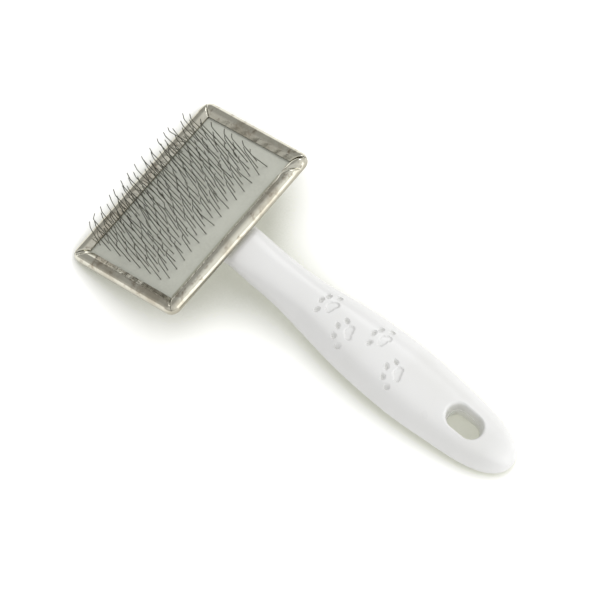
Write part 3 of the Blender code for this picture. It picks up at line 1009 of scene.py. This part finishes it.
def slotLoop(side, angle, lift=0.0):
    turn = math.radians(angle)
    straight = (slot["length"] - slot["width"]) / 2
    narrow = 0.0 if side > 0 else slot["draft"]
    loop = []
    for x, y in stadium(slot["length"] - 2 * narrow, slot["width"] - 2 * narrow):
        toPan = smoothStep(0.0, slot["length"] / 2, -x) if side > 0 else 0.0
        fillet = slot["fillet"] + (slot["wideFillet"] - slot["fillet"]) * toPan
        grow, sink = fillet * (1 - math.cos(turn)), fillet * (1 - math.sin(turn))
        outward = Vector((x - math.copysign(min(abs(x), straight), x), y)).normalized()
        px, py = slot["at"] + x + outward.x * grow, y + outward.y * grow
        loop.append(fromHandle(px, py, heightAt(px, py, side) - side * (sink - lift)))
    return loop


def easedRim(side, steps):
    return [slotLoop(side, 90 * k / steps, slot["stepLift"] * k) for k in range(steps + 1)]


def makeSlotCutter():  # its rims follow the handle's skin, so the edges come out evenly eased
    bm = bmesh.new()
    below, above = easedRim(-1, slot["stepsBelow"]), easedRim(1, slot["stepsAbove"])
    middle = fromHandle(slot["at"], 0, 0)
    ledgeTop = slot["ledgeAt"] - slot["ledgeHeight"]
    wall = []
    for step, level in ((-slot["ledge"], slot["ledgeAt"]), (0.0, ledgeTop)):
        loop = []
        for low, high in zip(below[0], above[0]):
            spot = high.lerp(low, level)
            outward = (spot - middle).normalized()
            loop.append(spot + Vector((outward.x, outward.y, 0)) * step)
        wall.append(loop)
    below.append(slotLoop(-1, slot["flareTo"], slot["flareLift"]))
    above.append(slotLoop(1, slot["flareTo"], slot["flareLift"]))
    skin(bm, below[::-1] + wall + above)
    return makeSolid("slotCutter", bm)


def makeSeatCutter():
    bm = bmesh.new()
    halfX, halfY = halfPan + pad["clear"], pan["length"] / 2
    outline = [(halfX, halfY), (-halfX, halfY), (-halfX, -halfY), (halfX, -halfY)]
    skin(bm, [[(x, y, z) for x, y in outline] for z in (-pad["clear"], pan["depth"])])
    return makeSolid("seatCutter", bm)


rivets = {
    "at": (0.0215, 0.0345),
    "shank": 0.0040,
    "head": 0.0080,
    "headThick": 0.0010,
    "washer": 0.0092,
    "washerThick": 0.0008,
    "washerEase": 0.0002,
    "clinch": 0.0064,
    "clinchThick": 0.0009,
    "drillOut": 0.001,
    "sides": 48,
}
pocketTop = tongueBack + rivets["washerThick"] + rivets["clinchThick"] + 3 * pad["clear"]


def makeDrill(name, width, high):  # one hole for each rivet, open behind the tongue
    bm = bmesh.new()
    outline = circle(width / 2 + pad["clear"], rivets["sides"])
    for distance in rivets["at"]:
        x = halfPan - distance
        levels = (tongueBack - rivets["drillOut"], high)
        skin(bm, [[(x + a, b, z) for a, b in outline] for z in levels])
    return makeSolid(name, bm)


def makeHandle():
    bm = bmesh.new()
    skin(bm, handleLoops())
    bm = booleanMesh(
        bm,
        [
            ("UNION", makeTongue()),
            ("DIFFERENCE", makeSeatCutter()),
            ("DIFFERENCE", makeSlotCutter()),
            ("DIFFERENCE", makeDrill("shanks", rivets["shank"], rivets["drillOut"])),
            ("DIFFERENCE", makeDrill("pockets", rivets["washer"], pocketTop)),
        ],
    )
    piece = makePiece("grip", bm, plastic, 40.0)
    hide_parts("handle")


makeHandle()
print("handle moulded")


def turnedPiece(name, node, x, profile, closed=False):  # profile is (radius, z) up the axis
    bm = bmesh.new()
    loops = []
    for radius, z in profile:
        loops.append([(x + a, b, z) for a, b in circle(radius, rivets["sides"])])
    skin(bm, loops, closed)
    piece = makePiece(name, bm, rivetSteel, 30.0)
    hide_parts(node)


def makeRivets():
    clear = pad["clear"]
    seat = pocketTop - clear
    low = seat - rivets["washerThick"]
    over = low - clear
    floor = pan["sheet"] + clear
    shank, head, clinch = rivets["shank"] / 2, rivets["head"] / 2, rivets["clinch"] / 2
    clinched = []
    for a in (0.0, 0.4, 0.8, 1.2, 1.5):  # radians round the clinched end
        radius = clinch * (0.55 + 0.45 * math.sin(a))
        clinched.append((radius, over - rivets["clinchThick"] * math.cos(a)))
    rivet = clinched + [(clinch, over), (shank, over), (shank, floor), (head, floor)]
    rivet += [(head, floor + rivets["headThick"] * 0.5), (head * 0.8, floor + rivets["headThick"])]
    outer, inner, ease = rivets["washer"] / 2, shank + clear, rivets["washerEase"]
    washer = [(inner, low), (outer - ease, low), (outer, low + ease)]
    washer += [(outer, seat - ease), (outer - ease, seat), (inner, seat)]
    for where, distance in zip(("handle_side", "far_side"), rivets["at"]):
        x = halfPan - distance
        turnedPiece(f"rivet_{where}_turned", f"rivet_{where}", x, rivet)
        turnedPiece(f"washer_{where}_turned", f"washer_{where}", x, washer, closed=True)


makeRivets()
print("rivets set")


studio = {
    "floorSize": 8.0,
    "floor": (0.90, 0.90, 0.90, 1.0),
    "floorShadow": (0.77, 0.78, 0.725, 1.0),  # painted shadow right beside the brush
    "lift": (0.52, 0.52, 0.515, 1.0),
    # painted shadow: less lift right beside the brush
    "shadowLift": (0.035, 0.037, 0.014, 1.0),
    "paintedGlow": (0.25, 0.25, 0.215, 1.0),  # painted light on the floor inside the slot, standing in for light soaking through the plastic
    "closeReach": 0.050,
    "shadowFadeOver": (0.36, 0.97),
    "paintedGlowOver": (0.16, 0.34),
    "horizon": (0.68, 0.67, 0.65, 1.0),
    "zenith": (0.83, 0.83, 0.83, 1.0),
    "zenithOver": (0.0, 0.75),
    "walls": (  # the dim side and the bright one: way there, colour, where it starts and is full
        ((-0.84, 0.22, 0.50), (0.45, 0.45, 0.44, 1.0), (0.45, 0.95)),
        ((0.93, 0.25, 0.28), (1.18, 1.18, 1.17, 1.0), (0.38, 0.95)),
    ),
    "lamps": {  # power, width, height, place
        "overhead": (4.0, 0.60, 0.60, (-0.20, 0.86, 1.20)),
        "strip": (1.7, 0.70, 0.80, (1.15, 0.30, 0.41)),
    },
}


def makeFloor():
    bpy.ops.mesh.primitive_grid_add(x_subdivisions=8, y_subdivisions=8, size=studio["floorSize"])
    floor = bpy.context.object
    floor.name = "floor"
    material = bpy.data.materials.new("paleFloor")
    material.use_nodes = True
    tree = material.node_tree
    shader = tree.nodes["Principled BSDF"]
    direct = addNode(tree, "ShaderNodeLightPath", {}, {}, "Is Camera Ray")
    rays = direct.socket.node.outputs
    glossy, through = Shade(tree, rays["Is Glossy Ray"]), Shade(tree, rays["Is Transmission Ray"])
    seen = (direct + glossy + through).math("MINIMUM", 1.0)
    bare = openness(tree, studio["closeReach"])
    # painted shadow: the floor is darker and warmer the more enclosed it is beside the brush
    clear = bare.smooth(*studio["shadowFadeOver"])
    # painted glow on the floor inside the slot, where it is most enclosed
    shadowAndGlowLift = bare.smooth(*studio["paintedGlowOver"]).mix(studio["paintedGlow"], studio["shadowLift"])
    feed(shader, "Base Color", clear.mix(studio["floorShadow"], studio["floor"]))
    feed(shader, "Roughness", 0.9)
    feed(shader, "Specular IOR Level", 0.0)
    feed(shader, "Emission Color", seen.mix(black, clear.mix(shadowAndGlowLift, studio["lift"])))
    feed(shader, "Emission Strength", 1.0)
    floor.data.materials.append(material)


def makeWorld():
    world = bpy.data.worlds.new("softRoom")
    bpy.context.scene.world = world
    world.use_nodes = True
    tree = world.node_tree
    place = addNode(tree, "ShaderNodeTexCoord", {}, {}, "Generated")
    height = addNode(tree, "ShaderNodeSeparateXYZ", {}, {0: place}, "Z")
    sky = height.smooth(*studio["zenithOver"]).mix(studio["horizon"], studio["zenith"])
    for toward, colour, over in studio["walls"]:
        sky = dotWith(place, toward).smooth(*over).mix(sky, colour)
    direct = addNode(tree, "ShaderNodeLightPath", {}, {}, "Is Camera Ray")
    feed(tree.nodes["Background"], "Color", direct.mix(sky, white))


def makeLamps():
    for name, (power, width, height, spot) in studio["lamps"].items():
        lamp = bpy.data.lights.new(name, "AREA")
        lamp.shape = "RECTANGLE"
        lamp.energy = power
        lamp.size, lamp.size_y = width, height
        holder = bpy.data.objects.new(name, lamp)
        holder.location = spot
        holder.rotation_euler = (-Vector(spot)).to_track_quat("-Z", "Y").to_euler()
        bpy.context.scene.collection.objects.link(holder)


camera = {
    "azimuth": 39.39,
    "elevation": 71.07,
    "distance": 2.5,
    "scale": 0.24490,  # metres across the picture at the object
    "right": -0.00889,
    "up": 0.00890,
    "sensor": 36.0,
    "clipEnd": 20.0,
}


def makeCamera():
    a, e = math.radians(camera["azimuth"]), math.radians(camera["elevation"])
    back = Vector((math.sin(a) * math.cos(e), -math.cos(a) * math.cos(e), math.sin(e)))
    right = Vector((math.cos(a), math.sin(a), 0.0))
    up = back.cross(right)
    data = bpy.data.cameras.new("camera")
    data.sensor_width = camera["sensor"]
    data.lens = camera["sensor"] * camera["distance"] / camera["scale"]
    data.clip_end = camera["clipEnd"]
    holder = bpy.data.objects.new("camera", data)
    aside = right * camera["right"] + up * camera["up"]
    holder.location = back * camera["distance"] + aside
    holder.rotation_euler = (-back).to_track_quat("-Z", "Y").to_euler()
    bpy.context.scene.collection.objects.link(holder)
    bpy.context.scene.camera = holder


makeFloor()
makeWorld()
makeLamps()
makeCamera()
bpy.context.scene.view_settings.view_transform = "Standard"
print("floor, light and camera set")
